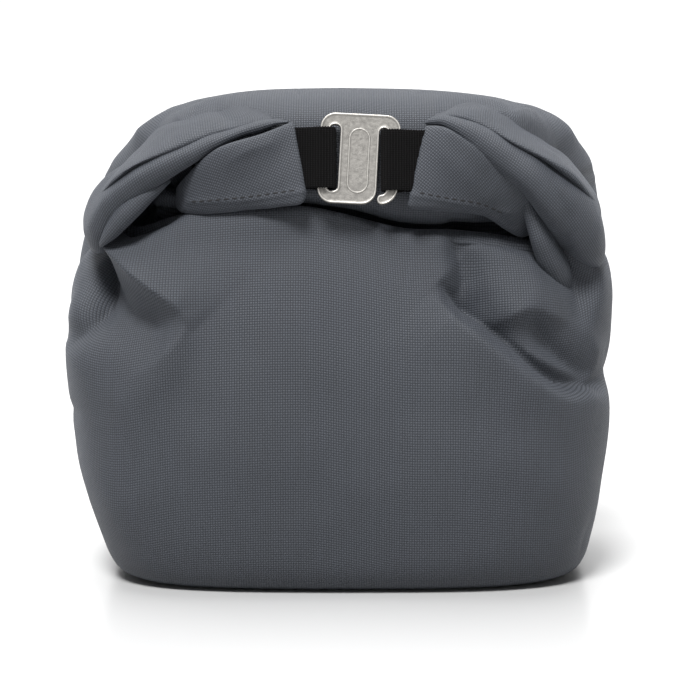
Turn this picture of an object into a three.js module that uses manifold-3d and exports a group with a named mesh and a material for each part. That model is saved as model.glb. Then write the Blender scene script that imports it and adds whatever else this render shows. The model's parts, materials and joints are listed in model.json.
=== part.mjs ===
// A small roll-top bag with padded walls. Its mouth is rolled down towards the front, and the two ends of
// the roll turn forwards and are held together by webbing loops and a flat metal hook buckle.
// Millimetres, +Z up, front towards -Y. The origin is on the surface it stands on, under the middle of the bag.
import * as THREE from "three";
import { mergeVertices } from "three/addons/utils/BufferGeometryUtils.js";
import Module from "manifold-3d";

// ---- Driving dimensions ----
const GAP = 0.3; // between pieces that touch
const SHELL = 1.2; // outer fabric
const FOAM = 4; // insulating foam
const LINING = 0.6; // welded inner lining
const FOAM_INSET = SHELL + 2 * GAP;
const LINING_INSET = FOAM_INSET + FOAM + 2 * GAP;
const CORNER_POWER = 4; // superellipse exponent of a level section: a box with round corners

// Heights of the level sections, and the bag's size at each: half its width, and its reach to front and back.
const LEVELS = [0, 8, 30, 70, 105, 140, 160, 176, 186];
const HALF_WIDTH = [93, 98, 106, 112, 112, 107.5, 100, 91, 80];
const FRONT_REACH = [60, 66, 71, 72, 68, 56, 46, 38, 28];
const BACK_REACH = [60, 66, 71, 72, 68, 60, 52, 39, 24];

const FRONT_TOP = 140; // the front wall ends under the roll
const BACK_TOP = 184.5;
const SIDE_TOP = 184.5;
const SHOULDER = 140; // above it the side walls keep only their rear part
const SHOULDER_ANGLE = -20; // degrees round the section, where that part begins
const LINING_TOP = 130;
const FOAM_TOP = 130;

const WEBBING_WIDTH = 24; // as woven; sold as 25
const WEBBING = 1.3; // thickness
const CLOSURE_AT = [7.8, -58, 170]; // middle of the buckle
const CLOSURE_LEAN = THREE.MathUtils.degToRad(15); // the roll and the buckle lean back at the top

const BUCKLE = { width: 31, height: 35.4, thickness: 2.3, corner: 5.8, turn: -3 };
const LEFT_BAR = -13.6; // x of the middle of each bar, from the middle of the buckle
const RIGHT_BAR = 13.1;
const LEFT_PIVOT = -24.8; // where each loop leaves its roll end
const RIGHT_PIVOT = 25.6;

const EAR = { thickness: 10, height: 30, pocket: 6.6, pocketDepth: 7 };
const LEFT_EAR_END = -22;
const RIGHT_EAR_END = 22.8;

const ROLL = { strip: 3, halfDepth: 13, halfHeight: 23, pitch: 4.2, turns: 1.75, halfLength: 76 };

const fabric = new THREE.MeshStandardMaterial({ color: 0x4b5058, roughness: 0.85, metalness: 0 });
const foamGrey = new THREE.MeshStandardMaterial({ color: 0xd8d8d4, roughness: 0.95, metalness: 0 });
const liningSilver = new THREE.MeshStandardMaterial({ color: 0x9fa3a8, roughness: 0.35, metalness: 0.3 });
const webbingBlack = new THREE.MeshStandardMaterial({ color: 0x121212, roughness: 0.9, metalness: 0 });
const threadGrey = new THREE.MeshStandardMaterial({ color: 0x2c2f34, roughness: 0.8, metalness: 0 });
const castMetal = new THREE.MeshStandardMaterial({ color: 0xb9b5ac, roughness: 0.5, metalness: 0.9 });

const wasm = await Module();
wasm.setup();

// ---- The bag's form ----
const spline = (values) => {
  const curve = new THREE.CubicInterpolant(LEVELS, values, 1);
  return (z) => curve.evaluate(z)[0];
};
const halfWidth = spline(HALF_WIDTH);
const frontReach = spline(FRONT_REACH);
const backReach = spline(BACK_REACH);

const softPower = (value) => Math.sign(value) * Math.abs(value) ** (2 / CORNER_POWER);

// A point of the wall at an angle in degrees, 0 at the right and 90 at the back, set in from the outside.
function wallPoint(angle, z, inset) {
  const turn = THREE.MathUtils.degToRad(angle);
  const reach = Math.sin(turn) < 0 ? frontReach(z) : backReach(z);
  return new THREE.Vector3(
    (halfWidth(z) - inset) * softPower(Math.cos(turn)),
    (reach - inset) * softPower(Math.sin(turn)),
    z,
  );
}

// Moves each vertex of a geometry to where place(x, y, z) says, and gives back plain closed triangles.
function reshape(geometry, place) {
  const at = geometry.getAttribute("position");
  for (let i = 0; i < at.count; i++) {
    const point = place(at.getX(i), at.getY(i), at.getZ(i));
    at.setXYZ(i, point.x, point.y, point.z);
  }
  geometry.deleteAttribute("normal");
  geometry.deleteAttribute("uv");
  const merged = mergeVertices(geometry, 1e-4);
  merged.computeVertexNormals();
  return merged;
}

// The rows of a wall lie closer together near its foot, where it curves most.
const rowHeight = (bottom, top, share) => THREE.MathUtils.lerp(bottom, top, share ** 1.6);

// One wall of the bag, bent from a slab: x runs round the section, y through the wall and z up it.
function wall(angleFrom, angleTo, bottom, top, inset, thickness, columns, rows) {
  const slab = new THREE.BoxGeometry(1, 1, 1, columns, 1, rows);
  return reshape(slab, (x, y, z) => {
    const height = rowHeight(bottom, top, z + 0.5);
    const angle = THREE.MathUtils.lerp(angleFrom(height), angleTo(height), x + 0.5);
    return wallPoint(angle, height, inset + thickness * (y + 0.5));
  });
}

// A solid of the bag's level sections, from one height to another.
function filled(bottom, top, inset, rows, sides = 48) {
  const drum = new THREE.CylinderGeometry(1, 1, 1, sides, rows).rotateX(Math.PI / 2);
  return reshape(drum, (x, y, z) => {
    const height = rowHeight(bottom, top, z + 0.5);
    if (Math.hypot(x, y) < 0.5) return new THREE.Vector3(0, 0, height);
    return wallPoint(THREE.MathUtils.radToDeg(Math.atan2(y, x)), height, inset);
  });
}

function solid(geometry) {
  const plain = new THREE.BufferGeometry().setAttribute("position", geometry.getAttribute("position"));
  plain.setIndex(geometry.index);
  const merged = mergeVertices(plain, 1e-4);
  return new wasm.Manifold(
    new wasm.Mesh({
      numProp: 3,
      vertProperties: new Float32Array(merged.attributes.position.array),
      triVerts: new Uint32Array(merged.index.array),
    }),
  );
}

function fromSolid(body) {
  const mesh = body.getMesh();
  const geometry = new THREE.BufferGeometry();
  geometry.setAttribute("position", new THREE.BufferAttribute(mesh.vertProperties, 3));
  geometry.setIndex(new THREE.BufferAttribute(mesh.triVerts, 1));
  geometry.computeVertexNormals();
  return geometry;
}

const bag = new THREE.Group();

function add(name, geometry, material, parent = bag) {
  const mesh = new THREE.Mesh(geometry, material);
  mesh.name = name;
  parent.add(mesh);
  return mesh;
}

// ---- Walls ----
const SEAM = 0.5; // degrees kept free on each side of a corner seam
const CORNER = 45;
const fixed = (angle) => () => angle;
// Above the shoulder the side walls start further back, so that the roll's ends can turn forwards.
const sideStart = (z) =>
  THREE.MathUtils.lerp(-CORNER + SEAM, SHOULDER_ANGLE, THREE.MathUtils.smoothstep(z, SHOULDER - 6, SHOULDER + 12));

const SIDES = {
  front: { from: fixed(-180 + CORNER + SEAM), to: fixed(-CORNER - SEAM), top: FRONT_TOP, columns: 18 },
  back: { from: fixed(CORNER + SEAM), to: fixed(180 - CORNER - SEAM), top: BACK_TOP, columns: 18 },
  right: { from: sideStart, to: fixed(CORNER - SEAM), top: SIDE_TOP, columns: 12 },
  left: { from: fixed(180 - CORNER + SEAM), to: (z) => 180 - sideStart(z), top: SIDE_TOP, columns: 12 },
};

for (const [side, { from, to, top, columns }] of Object.entries(SIDES)) {
  add(`${side}_panel`, wall(from, to, GAP, top, 0, SHELL, columns, 20), fabric);
  add(`${side}_foam`, wall(from, to, FOAM_INSET, FOAM_TOP, FOAM_INSET, FOAM, columns, 14), foamGrey);
}

const BASE_EASE = 2.5; // the base pieces stop a little short of the walls round them
add("base_panel", filled(0, SHELL, SHELL + BASE_EASE, 1), fabric);
add("base_foam", filled(FOAM_INSET, FOAM_INSET + FOAM, FOAM_INSET + FOAM + BASE_EASE, 1), foamGrey);

const liningOuter = solid(filled(LINING_INSET, LINING_TOP, LINING_INSET, 10));
const liningInner = solid(filled(LINING_INSET + LINING, LINING_TOP + 5, LINING_INSET + LINING, 10));
add("lining", fromSolid(liningOuter.subtract(liningInner)), liningSilver);

// ---- Closure: everything here leans back with the roll ----
const closure = new THREE.Group();
closure.position.set(...CLOSURE_AT);
closure.rotation.x = -CLOSURE_LEAN;
bag.add(closure);

// Extrudes a plan outline upwards, centred on the closure's middle height.
function upright(shape, height, curveSegments = 5) {
  const geometry = new THREE.ExtrudeGeometry(shape, { depth: height, bevelEnabled: false, curveSegments });
  return geometry.translate(0, 0, -height / 2);
}

// A band of even thickness along a plan curve. Its far end is cut into a pocket for the webbing.
function earOutline(points, side) {
  const curve = new THREE.CatmullRomCurve3(points.map(([x, y]) => new THREE.Vector3(x, y, 0)));
  const steps = 22;
  const front = [];
  const rear = [];
  for (let i = 0; i <= steps; i++) {
    const at = curve.getPointAt(i / steps);
    const along = curve.getTangentAt(i / steps);
    const across = new THREE.Vector3(-along.y, along.x, 0).multiplyScalar(EAR.thickness / 2);
    front.push(at.clone().add(across));
    rear.push(at.clone().sub(across));
  }
  const end = points[points.length - 1][0];
  const bottomOfPocket = end + side * EAR.pocketDepth;
  const half = EAR.pocket / 2;
  const sign = Math.sign(front[steps].y);
  const pocket = [
    [end, sign * half],
    [bottomOfPocket, sign * half],
    [bottomOfPocket, -sign * half],
    [end, -sign * half],
  ];
  const outline = [...front.map((p) => [p.x, p.y]), ...pocket, ...rear.reverse().map((p) => [p.x, p.y])];
  return new THREE.Shape(outline.map(([x, y]) => new THREE.Vector2(x, y)));
}

const leftEar = earOutline([[-89, 19], [-97.5, 10], [-95, 1.5], [-84, 0], [-50, 0], [LEFT_EAR_END, 0]], -1);
const rightEar = earOutline([[73, 19], [81.5, 10], [79, 1.5], [68, 0], [46, 0], [RIGHT_EAR_END, 0]], 1);
add("left_roll_end", upright(leftEar, EAR.height), fabric, closure);
add("right_roll_end", upright(rightEar, EAR.height), fabric, closure);

// A webbing loop, its sewn end on the origin and the bar at x = reach: two layers that part round the bar.
function loopShape(reach, barHalf) {
  const inner = BUCKLE.thickness / 2 + BAR_PLAY;
  const outer = inner + WEBBING;
  const nose = reach + barHalf + BAR_PLAY;
  const sewn = 2.5;
  const split = sewn + 1.5;
  const middle = (sewn + reach) / 2;
  const shape = new THREE.Shape();
  shape.moveTo(0, -WEBBING);
  shape.lineTo(sewn, -WEBBING);
  shape.quadraticCurveTo(middle, -outer, reach - 1, -outer);
  shape.lineTo(nose, -outer);
  shape.quadraticCurveTo(nose + WEBBING, -outer, nose + WEBBING, 0);
  shape.quadraticCurveTo(nose + WEBBING, outer, nose, outer);
  shape.lineTo(reach - 1, outer);
  shape.quadraticCurveTo(middle, outer, sewn, WEBBING);
  shape.lineTo(0, WEBBING);
  shape.quadraticCurveTo(-WEBBING, WEBBING, -WEBBING, 0);
  shape.quadraticCurveTo(-WEBBING, -WEBBING, 0, -WEBBING);
  const hole = new THREE.Path();
  hole.moveTo(split, 0);
  hole.lineTo(reach - barHalf - 1, inner);
  hole.lineTo(nose, inner);
  hole.lineTo(nose, -inner);
  hole.lineTo(reach - barHalf - 1, -inner);
  shape.holes.push(hole);
  return shape;
}
const LEFT_BAR_HALF = 1.8;
const RIGHT_BAR_HALF = 2.2;
const BAR_PLAY = 0.8; // room for the bar to turn in its loop
const leftLoop = loopShape(LEFT_BAR - LEFT_PIVOT, LEFT_BAR_HALF);
const rightLoop = loopShape(RIGHT_PIVOT - RIGHT_BAR, RIGHT_BAR_HALF);
const leftWebbing = add("left_webbing_loop", upright(leftLoop, WEBBING_WIDTH), webbingBlack, closure);
leftWebbing.position.set(LEFT_PIVOT, 0, 0.4);
const rightWebbing = add("right_webbing_loop", upright(rightLoop, WEBBING_WIDTH), webbingBlack, closure);
rightWebbing.position.set(RIGHT_PIVOT, 0, -0.6);
rightWebbing.rotation.z = Math.PI;

// The buckle is one flat plate: a closed slot at the left, and at the right a hook that is open at its foot.
function buckleOutline() {
  const { width, height, corner } = BUCKLE;
  const right = width / 2;
  const top = height / 2;
  const plateRight = 7.3; // right edge of the middle plate
  const hookInner = RIGHT_BAR - RIGHT_BAR_HALF;
  const slotTop = 12.5;
  const slotRound = (hookInner - plateRight) / 2;
  const shape = new THREE.Shape();
  shape.moveTo(-right + corner, -top);
  shape.lineTo(plateRight - corner, -top);
  shape.absarc(plateRight - corner, -top + corner, corner, -Math.PI / 2, 0);
  shape.lineTo(plateRight, slotTop - slotRound);
  shape.absarc(plateRight + slotRound, slotTop - slotRound, slotRound, Math.PI, 0, true);
  shape.lineTo(hookInner, -11.9);
  shape.quadraticCurveTo(hookInner - 0.3, -13.1, hookInner - 1.4, -13.7); // the foot of the hook turns inwards
  shape.absarc(9.6, -15.4, 2.0, THREE.MathUtils.degToRad(110), THREE.MathUtils.degToRad(285));
  shape.quadraticCurveTo(right - 0.4, -16, right, -10.6);
  shape.lineTo(right, top - corner);
  shape.absarc(right - corner, top - corner, corner, 0, Math.PI / 2);
  shape.lineTo(-right + corner, top);
  shape.absarc(-right + corner, top - corner, corner, Math.PI / 2, Math.PI);
  shape.lineTo(-right, -top + corner);
  shape.absarc(-right + corner, -top + corner, corner, Math.PI, 1.5 * Math.PI);

  const slotLeft = LEFT_BAR + LEFT_BAR_HALF;
  const slotRight = -7.7;
  const slotHalf = 13;
  const round = 1.8;
  const slot = new THREE.Path();
  slot.moveTo(slotLeft + round, -slotHalf);
  slot.absarc(slotLeft + round, slotHalf - round, round, Math.PI, Math.PI / 2, true);
  slot.absarc(slotRight - round, slotHalf - round, round, Math.PI / 2, 0, true);
  slot.absarc(slotRight - round, -slotHalf + round, round, 0, -Math.PI / 2, true);
  slot.absarc(slotLeft + round, -slotHalf + round, round, -Math.PI / 2, -Math.PI, true);
  shape.holes.push(slot);
  return shape;
}
const plate = new THREE.ExtrudeGeometry(buckleOutline(), {
  depth: BUCKLE.thickness,
  bevelEnabled: false,
  curveSegments: 8,
});
plate.translate(0, 0, -BUCKLE.thickness / 2).rotateX(Math.PI / 2);
const buckle = add("hook_buckle", plate, castMetal, closure);
buckle.rotation.y = -THREE.MathUtils.degToRad(BUCKLE.turn);

// ---- Rolled mouth: one strip from the back wall's top edge over the top, then wound up inside itself ----
function rollOutline() {
  const toBag = new THREE.Matrix4().makeRotationX(-CLOSURE_LEAN).setPosition(0, CLOSURE_AT[1], CLOSURE_AT[2]);
  const centre = EAR.thickness / 2 + GAP + ROLL.strip / 2 + ROLL.halfDepth;
  const line = [new THREE.Vector2(19, 187), new THREE.Vector2(2, 191), new THREE.Vector2(-14, 192)];
  const steps = 34;
  const startAngle = 80;
  for (let i = 0; i <= steps; i++) {
    const turns = (ROLL.turns * i) / steps;
    const angle = THREE.MathUtils.degToRad(startAngle + 360 * turns);
    const local = new THREE.Vector3(
      0,
      centre + (ROLL.halfDepth - ROLL.pitch * turns) * Math.cos(angle),
      (ROLL.halfHeight - ROLL.pitch * turns) * Math.sin(angle),
    );
    local.applyMatrix4(toBag);
    line.push(new THREE.Vector2(local.y, local.z));
  }
  const curve = new THREE.SplineCurve(line);
  const samples = 90;
  const upper = [];
  const lower = [];
  for (let i = 0; i <= samples; i++) {
    const at = curve.getPointAt(i / samples);
    const along = curve.getTangentAt(i / samples);
    const across = new THREE.Vector2(-along.y, along.x).multiplyScalar(ROLL.strip / 2);
    upper.push(at.clone().add(across));
    lower.push(at.clone().sub(across));
  }
  return new THREE.Shape([...upper, ...lower.reverse()]);
}
const roll = new THREE.ExtrudeGeometry(rollOutline(), { depth: 2 * ROLL.halfLength, bevelEnabled: false });
roll.translate(0, 0, -ROLL.halfLength);
roll.applyMatrix4(
  new THREE.Matrix4().makeBasis(
    new THREE.Vector3(0, 1, 0),
    new THREE.Vector3(0, 0, 1),
    new THREE.Vector3(1, 0, 0),
  ),
);
add("rolled_mouth", roll, fabric);

// A webbing strip sewn along the mouth's edge, so it lies in the heart of the roll.
const stay = new THREE.BoxGeometry(2 * ROLL.halfLength, WEBBING, WEBBING_WIDTH);
const stayDepth = EAR.thickness / 2 + GAP + ROLL.strip / 2 + ROLL.halfDepth;
add("mouth_webbing", stay, webbingBlack, closure).position.set(-CLOSURE_AT[0], stayDepth, 0);

export default bag;
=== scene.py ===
"""A small padded roll-top bag, its roll ends joined in front by webbing loops and a cast hook buckle."""

import json
import math

import bmesh
import bpy
import numpy as np
from mathutils import Matrix, Vector, noise
from mathutils.bvhtree import BVHTree


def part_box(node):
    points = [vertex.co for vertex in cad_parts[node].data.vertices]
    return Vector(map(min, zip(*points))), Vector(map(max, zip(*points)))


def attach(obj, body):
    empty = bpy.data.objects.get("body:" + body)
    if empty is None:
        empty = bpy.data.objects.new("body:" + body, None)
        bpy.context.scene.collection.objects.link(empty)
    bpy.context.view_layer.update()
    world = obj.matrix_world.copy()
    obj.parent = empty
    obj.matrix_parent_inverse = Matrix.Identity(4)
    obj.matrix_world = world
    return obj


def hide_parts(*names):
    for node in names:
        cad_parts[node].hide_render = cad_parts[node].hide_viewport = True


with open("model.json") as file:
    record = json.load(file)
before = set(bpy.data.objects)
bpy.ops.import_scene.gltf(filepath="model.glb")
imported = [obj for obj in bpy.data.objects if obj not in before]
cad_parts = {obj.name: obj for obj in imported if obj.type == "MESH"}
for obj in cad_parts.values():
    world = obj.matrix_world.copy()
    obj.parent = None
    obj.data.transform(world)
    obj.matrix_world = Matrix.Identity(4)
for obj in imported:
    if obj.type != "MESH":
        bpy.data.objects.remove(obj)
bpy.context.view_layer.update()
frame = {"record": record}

bl_info = {
    "name": "Roll-top bag",
    "version": (1, 0, 0),
    "blender": (4, 5, 0),
    "location": "View3D > Sidebar > Bag",
    "description": "Builds a padded roll-top bag with webbing loops and a hook buckle",
    "category": "Add Mesh",
}

MM = 0.001

# ---- Where the CAD puts things, in millimetres ----


def node_middle(node):
    """The middle of a CAD node's box, in millimetres."""
    low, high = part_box(node)
    return (low + high) / 2 / MM


JOINTS = {joint["name"]: joint for joint in frame["record"]["behaviour"]["joints"]}
BUCKLE_AT = node_middle("hook_buckle")
LEAN = math.atan2(-JOINTS["buckle_hinge"]["axis"][1], -JOINTS["buckle_hinge"]["axis"][2])
LEFT_PIVOT = Vector(JOINTS["left_loop_hinge"]["pos_m"]) / MM
LEFT_BAR = Vector(JOINTS["buckle_hinge"]["pos_m"]) / MM
RIGHT_BAR = Vector(JOINTS["right_loop_hinge"]["pos_m"]) / MM


# ---- Properties ----


def colour_setting(name, description, default):
    """A colour that can be changed in the panel."""
    return bpy.props.FloatVectorProperty(
        name=name, description=description, subtype="COLOR", min=0, max=1, default=default
    )


def length_setting(name, description, default):
    """A length in metres that can be changed in the panel."""
    return bpy.props.FloatProperty(name=name, description=description, default=default, unit="LENGTH")


class BagFabric(bpy.types.PropertyGroup):
    """The woven cloth of the bag."""

    colour: colour_setting("Cloth colour", "Colour of the yarn on top of the weave", (0.094, 0.103, 0.122))
    shade: colour_setting("Gap colour", "Colour seen between the yarns", (0.019, 0.022, 0.028))
    yarn: length_setting("Yarn pitch", "Distance from one yarn to the next", 0.00098)
    relief: length_setting("Weave relief", "Height of a yarn above the gaps", 0.00022)


class BagWebbing(bpy.types.PropertyGroup):
    """The narrow webbing of the closing loops."""

    colour: colour_setting("Webbing colour", "Colour of the webbing", (0.0048, 0.0046, 0.0047))
    width: length_setting("Webbing width", "Width as woven", 0.0238)
    thickness: length_setting("Webbing thickness", "One layer", 0.0012)
    rib: length_setting("Rib pitch", "Distance between its cross ribs", 0.00105)


class BagMetal(bpy.types.PropertyGroup):
    """The cast hook buckle."""

    colour: colour_setting("Metal colour", "Colour of the cast metal", (0.27, 0.26, 0.243))
    rim: length_setting("Rim width", "Width of the raised rim", 0.0007)


class BagStage(bpy.types.PropertyGroup):
    """Camera and light."""

    elevation: bpy.props.FloatProperty(
        name="Camera height angle",
        description="Angle of the camera above the floor",
        default=math.radians(8),
        subtype="ANGLE",
    )
    distance: length_setting("Camera distance", "Camera to the bag's middle", 1.1)
    lens: bpy.props.FloatProperty(
        name="Lens", description="Focal length in millimetres", default=137.6
    )


SETTINGS = {
    "bag_fabric": BagFabric,
    "bag_webbing": BagWebbing,
    "bag_metal": BagMetal,
    "bag_stage": BagStage,
}


# ---- Node groups and materials ----


class Nodes:
    """Short ways to add and join the nodes of a tree."""

    def __init__(self, tree):
        self.tree = tree

    def add(self, kind, inputs=None, **settings):
        """A node of the kind, its settings made, and its inputs given as values or as sockets."""
        node = self.tree.nodes.new(kind)
        for key, value in settings.items():
            setattr(node, key, value)
        for key, value in (inputs or {}).items():
            if isinstance(value, bpy.types.NodeSocket):
                self.tree.links.new(value, node.inputs[key])
            else:
                node.inputs[key].default_value = value
        return node

    def math(self, operation, *values):
        """The output of a Math node."""
        node = self.add("ShaderNodeMath", dict(enumerate(values)), operation=operation)
        return node.outputs[0]

    def ramp(self, value, *stops):
        """A colour ramp over the value, from (place, grey) stops."""
        node = self.add("ShaderNodeValToRGB", {"Fac": value})
        elements = node.color_ramp.elements
        while len(elements) < len(stops):
            elements.new(0.5)
        for element, (place, grey) in zip(elements, stops):
            element.position = place
            element.color = (grey, grey, grey, 1)
        return node.outputs["Color"]

    def mix(self, factor, first, second, blend="MIX"):
        """The colour between two colours."""
        node = self.add("ShaderNodeMix", data_type="RGBA", blend_type=blend)
        for key, value in ((0, factor), (6, first), (7, second)):
            if isinstance(value, bpy.types.NodeSocket):
                self.tree.links.new(value, node.inputs[key])
            else:
                node.inputs[key].default_value = value
        return node.outputs[2]

    def noise(self, where, scale, detail):
        """The factor of a noise texture, 0.5 on average."""
        node = self.add("ShaderNodeTexNoise", {"Vector": where, "Scale": scale, "Detail": detail})
        return node.outputs["Fac"]


def new_group(name, inputs, outputs):
    """An empty shader node group with those sockets, given as name: (socket type, default)."""
    group = bpy.data.node_groups.new(name, "ShaderNodeTree")
    for socket, (kind, default) in inputs.items():
        made = group.interface.new_socket(socket, in_out="INPUT", socket_type=kind)
        if default is not None:
            made.default_value = default
    for socket, kind in outputs.items():
        group.interface.new_socket(socket, in_out="OUTPUT", socket_type=kind)
    nodes = Nodes(group)
    start = nodes.add("NodeGroupInput")
    end = nodes.add("NodeGroupOutput")
    return group, nodes, start.outputs, end.inputs


def plain_weave_group():
    """Yarns that cross over and under: a height, a mask that is dark in the gaps, and yarn-to-yarn change."""
    group, nodes, given, result = new_group(
        "Plain weave",
        {"Vector": ("NodeSocketVector", None), "Pitch": ("NodeSocketFloat", 0.001)},
        {"Height": "NodeSocketFloat", "Mask": "NodeSocketFloat", "Slub": "NodeSocketFloat"},
    )
    place = nodes.add("ShaderNodeSeparateXYZ", {"Vector": given["Vector"]})
    across = nodes.math("DIVIDE", place.outputs["X"], given["Pitch"])
    along = nodes.math("DIVIDE", place.outputs["Y"], given["Pitch"])
    wave_across = nodes.math("SINE", nodes.math("MULTIPLY", across, math.pi))
    wave_along = nodes.math("SINE", nodes.math("MULTIPLY", along, math.pi))
    round_across = nodes.math("ABSOLUTE", wave_across)
    round_along = nodes.math("ABSOLUTE", wave_along)
    side = nodes.math("MULTIPLY", wave_across, wave_along)
    over = nodes.math("GREATER_THAN", side, 0.0)
    warp = nodes.math("MULTIPLY", nodes.math("POWER", round_across, 0.6), round_along)
    weft = nodes.math("MULTIPLY", nodes.math("POWER", round_along, 0.6), round_across)
    top = nodes.add("ShaderNodeMix", {0: over, 2: weft, 3: warp}, data_type="FLOAT").outputs[0]
    nodes.tree.links.new(top, result["Height"])
    mask = nodes.math("MULTIPLY", top, nodes.math("MULTIPLY_ADD", over, 0.22, 0.78))
    nodes.tree.links.new(mask, result["Mask"])
    stretched = nodes.add(
        "ShaderNodeMapping", {"Vector": given["Vector"], "Scale": (1.0, 0.12, 1.0)}, vector_type="POINT"
    )
    slub = nodes.noise(stretched.outputs[0], 420.0, 2.0)
    nodes.tree.links.new(slub, result["Slub"])
    return group


def dust_group():
    """Slow change of tone over a surface, from handling and dust."""
    group, nodes, given, result = new_group(
        "Handling tone",
        {"Vector": ("NodeSocketVector", None), "Scale": ("NodeSocketFloat", 20.0)},
        {"Tone": "NodeSocketFloat"},
    )
    broad = nodes.noise(given["Vector"], given["Scale"], 4.0)
    nodes.tree.links.new(broad, result["Tone"])
    return group


def node_group(name, make):
    """The node group, made the first time that it is asked for."""
    return bpy.data.node_groups.get(name) or make()


def start_material(name):
    """A new material with a Principled shader: the material, its nodes and the shader."""
    material = bpy.data.materials.new(name)
    material.use_nodes = True
    nodes = Nodes(material.node_tree)
    return material, nodes, material.node_tree.nodes["Principled BSDF"]


def surface_bump(nodes, shader, height, distance, strength=1.0):
    """Joins a height to the shader's normal."""
    bump = nodes.add("ShaderNodeBump", {"Strength": strength, "Distance": distance, "Height": height})
    nodes.tree.links.new(bump.outputs["Normal"], shader.inputs["Normal"])


def woven_cloth():
    """The bag's polyester: a plain weave on the cloth's own UV map, with a soft sheen."""
    known = bpy.data.materials.get("woven_polyester_cloth")
    if known:
        return known
    fabric = bpy.context.scene.bag_fabric
    material, nodes, shader = start_material("woven_polyester_cloth")
    lie = nodes.add("ShaderNodeUVMap", uv_map="UVMap").outputs["UV"]
    weave = nodes.add("ShaderNodeGroup", node_tree=node_group("Plain weave", plain_weave_group))
    weave.inputs["Pitch"].default_value = fabric.yarn
    nodes.tree.links.new(lie, weave.inputs["Vector"])
    spot = nodes.add("ShaderNodeTexCoord").outputs["Object"]
    dust = nodes.add("ShaderNodeGroup", node_tree=node_group("Handling tone", dust_group))
    dust.inputs["Scale"].default_value = 14.0
    nodes.tree.links.new(spot, dust.inputs["Vector"])
    mask = nodes.ramp(weave.outputs["Mask"], (0.04, 0.1), (0.7, 1.0))
    yarn = nodes.mix(mask, (*fabric.shade, 1), (*fabric.colour, 1))
    slubbed = nodes.mix(0.55, yarn, nodes.ramp(weave.outputs["Slub"], (0.3, 0.75), (0.7, 1.0)), "MULTIPLY")
    toned = nodes.mix(0.5, slubbed, nodes.ramp(dust.outputs["Tone"], (0.3, 0.82), (0.7, 1.0)), "MULTIPLY")
    nodes.tree.links.new(toned, shader.inputs["Base Color"])
    roughness = nodes.math("MULTIPLY_ADD", weave.outputs["Slub"], 0.18, 0.52)
    nodes.tree.links.new(roughness, shader.inputs["Roughness"])
    shader.inputs["Specular IOR Level"].default_value = 0.38
    shader.inputs["Sheen Weight"].default_value = 0.12
    shader.inputs["Sheen Roughness"].default_value = 0.45
    shader.inputs["Sheen Tint"].default_value = (0.75, 0.8, 0.9, 1)
    surface_bump(nodes, shader, weave.outputs["Height"], fabric.relief, 0.75)
    return material


def plain_material(name, colour, roughness, change=0.15, scale=300.0, metallic=0.0, depth=0.0001):
    """A matte or metallic finish with a fine grain in its colour, gloss and relief."""
    material, nodes, shader = start_material(name)
    spot = nodes.add("ShaderNodeTexCoord").outputs["Object"]
    grain = nodes.noise(spot, scale, 4.0)
    shade = nodes.ramp(grain, (0.3, 1 - change), (0.7, 1.0))
    nodes.tree.links.new(nodes.mix(1.0, (*colour, 1), shade, "MULTIPLY"), shader.inputs["Base Color"])
    gloss = nodes.math("MULTIPLY_ADD", grain, 0.2, roughness - 0.1)
    nodes.tree.links.new(gloss, shader.inputs["Roughness"])
    shader.inputs["Metallic"].default_value = metallic
    surface_bump(nodes, shader, grain, depth)
    return material


# ---- Making soft surfaces ----


def through(stations, places):
    """Smooth values at the places, from rows of numbers at whole-number places (a Catmull-Rom curve)."""
    rows = np.asarray(stations, float)
    padded = np.vstack([2 * rows[0] - rows[1], rows, 2 * rows[-1] - rows[-2]])
    places = np.clip(np.asarray(places, float), 0, len(rows) - 1)
    first = np.minimum(places.astype(int), len(rows) - 2)
    part = (places - first)[..., None]
    a, b, c, d = (padded[first + i] for i in range(4))
    return 0.5 * (
        2 * b + (c - a) * part + (2 * a - 5 * b + 4 * c - d) * part**2 + (3 * b - 3 * c + d - a) * part**3
    )


def path_run(path):
    """Arc length along a path, up to each of its points."""
    return np.concatenate([[0], np.cumsum(np.linalg.norm(np.diff(path, axis=0), axis=1))])


def at_run(path, run, spots):
    """The places on a flat path at those arc lengths."""
    return np.stack([np.interp(spots, run, path[:, 0]), np.interp(spots, run, path[:, 1])], axis=1)


def steps(low, high, value):
    """0 below low, 1 above high, and smooth between them."""
    share = np.clip((value - low) / (high - low), 0, 1)
    return share * share * (3 - 2 * share)


def grid_normals(points):
    """Unit normals of a grid of points."""
    along = np.gradient(points, axis=1)
    up = np.gradient(points, axis=0)
    normals = np.cross(along, up)
    return normals / np.maximum(np.linalg.norm(normals, axis=-1, keepdims=True), 1e-9)


def row_lengths(points, start=0):
    """Arc length along each row of a grid, counted from the column called start."""
    gaps = np.linalg.norm(np.diff(points, axis=1), axis=-1)
    run = np.concatenate([np.zeros((len(points), 1)), np.cumsum(gaps, axis=1)], axis=1)
    return run - run[:, start : start + 1]


def column_lengths(points, start=0):
    """Arc length up each column of a grid, counted from the row called start."""
    return row_lengths(points.swapaxes(0, 1), start).T


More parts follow.
